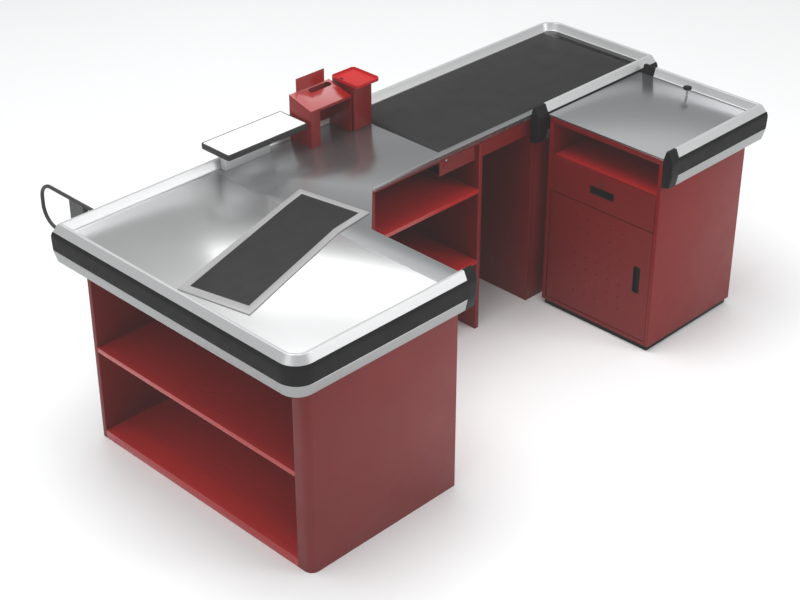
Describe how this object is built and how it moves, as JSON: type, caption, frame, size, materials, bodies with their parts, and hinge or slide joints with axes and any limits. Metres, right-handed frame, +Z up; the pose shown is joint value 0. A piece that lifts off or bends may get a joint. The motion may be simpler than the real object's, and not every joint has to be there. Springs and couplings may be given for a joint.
{
  "type": "checkout counter",
  "caption": "L-shaped supermarket checkout counter with belt conveyor, packing wing, side cabinet, bumper rails and a payment console.",
  "frame": {"origin": "floor level, at the middle of the whole counter's plan", "axes": "+X along the counter from the packing wing to the conveyor, +Y to the customers' side, +Z up"},
  "size_m": [2.673, 1.5794, 1.11],
  "materials": {
    "red_laminate": "satin",
    "red_metal": "satin",
    "steel": "satin",
    "rail_aluminium": "satin",
    "bumper_rubber": "matte",
    "belt_rubber": "matte",
    "black_plastic": "satin",
    "dark_metal": "satin",
    "white_laminate": "satin",
    "chrome": "polished"
  },
  "bodies": {
    "counter": {"worktop_core": "red_laminate", "packing_plate": "steel", "service_plate": "steel", "slide_frame": "steel", "slide_mat": "belt_rubber", "wing_near_panel": "red_laminate", "wing_corner_post": "red_laminate", "wing_back_panel": "red_laminate", "diagonal_panel": "red_laminate", "wing_shelves": "red_laminate", "customer_panel": "red_laminate", "conveyor_back_panel": "red_laminate", "cashier_left_panel": "red_laminate", "cashier_right_panel": "red_laminate", "cashier_shelves": "red_laminate", "conveyor_side_panel": "red_laminate", "conveyor_front_panel": "red_laminate", "conveyor_end_panel": "red_laminate", "conveyor_trough": "red_metal", "belt_bed": "steel", "belt": "belt_rubber", "rail_wing_near": "rail_aluminium", "rail_left": "rail_aluminium", "rail_far": "rail_aluminium", "rail_right": "rail_aluminium", "rail_main_near": "rail_aluminium", "rail_corners": "rail_aluminium", "side_rail_near": "rail_aluminium", "side_rail_right": "rail_aluminium", "rubber_counter": "bumper_rubber", "rubber_side": "bumper_rubber", "end_caps": "black_plastic", "side_plinth": "black_plastic", "side_panels": "red_laminate", "side_back_panel": "red_laminate", "side_bottom": "red_laminate", "side_niche_shelf": "red_laminate", "side_top_board": "red_laminate", "side_worktop": "steel", "cabinet_links": "dark_metal", "drawer_runners": "dark_metal", "door_pivots": "chrome", "console_body": "red_metal", "console_panel": "red_metal", "terminal_column": "red_metal", "terminal_tray": "red_metal", "customer_shelf": "white_laminate", "shelf_bracket": "steel", "gate_bracket": "dark_metal", "button_base": "steel"},
    "drive_roller": {"drive_roller": "steel"},
    "idler_roller": {"idler_roller": "steel"},
    "drawer": {"drawer_front": "red_laminate", "drawer_tray": "red_laminate", "drawer_pull": "black_plastic"},
    "lock": {"drawer_lock": "chrome"},
    "door": {"door_panel": "red_laminate", "door_pull": "black_plastic"},
    "gate": {"gate_loop": "dark_metal"},
    "button": {"button_head": "black_plastic"}
  },
  "joints": [
    {"name": "drive_spin", "type": "hinge", "parent": "counter", "child": "drive_roller", "pos_m": [1.228, 0.18375, 0.829], "axis": [0, 1, 0], "continuous": true},
    {"name": "idler_spin", "type": "hinge", "parent": "counter", "child": "idler_roller", "pos_m": [0.112, 0.18375, 0.829], "axis": [0, 1, 0], "continuous": true},
    {"name": "drawer_slide", "type": "slide", "parent": "counter", "child": "drawer", "axis": [-1, 0, 0], "range_m": [0, 0.4]},
    {"name": "lock_turn", "type": "hinge", "parent": "drawer", "child": "lock", "pos_m": [0.626, -0.41525, 0.66], "axis": [1, 0, 0], "range_deg": [0, 90]},
    {"name": "door_swing", "type": "hinge", "parent": "counter", "child": "door", "pos_m": [0.635, -0.16575, 0.3], "axis": [0, 0, -1], "range_deg": [0, 95]},
    {"name": "gate_swing", "type": "hinge", "parent": "counter", "child": "gate", "pos_m": [-1.158, 0.51375, 0.8], "axis": [0, 0, 1], "range_deg": [-90, 0]},
    {"name": "button_press", "type": "slide", "parent": "counter", "child": "button", "axis": [0, 0, -1], "range_m": [0, 0.004], "stiffness_N_per_m": 400}
  ],
  "couplings": [
    {"joint": "idler_spin", "follows": "drive_spin", "ratio": 1}
  ]
}
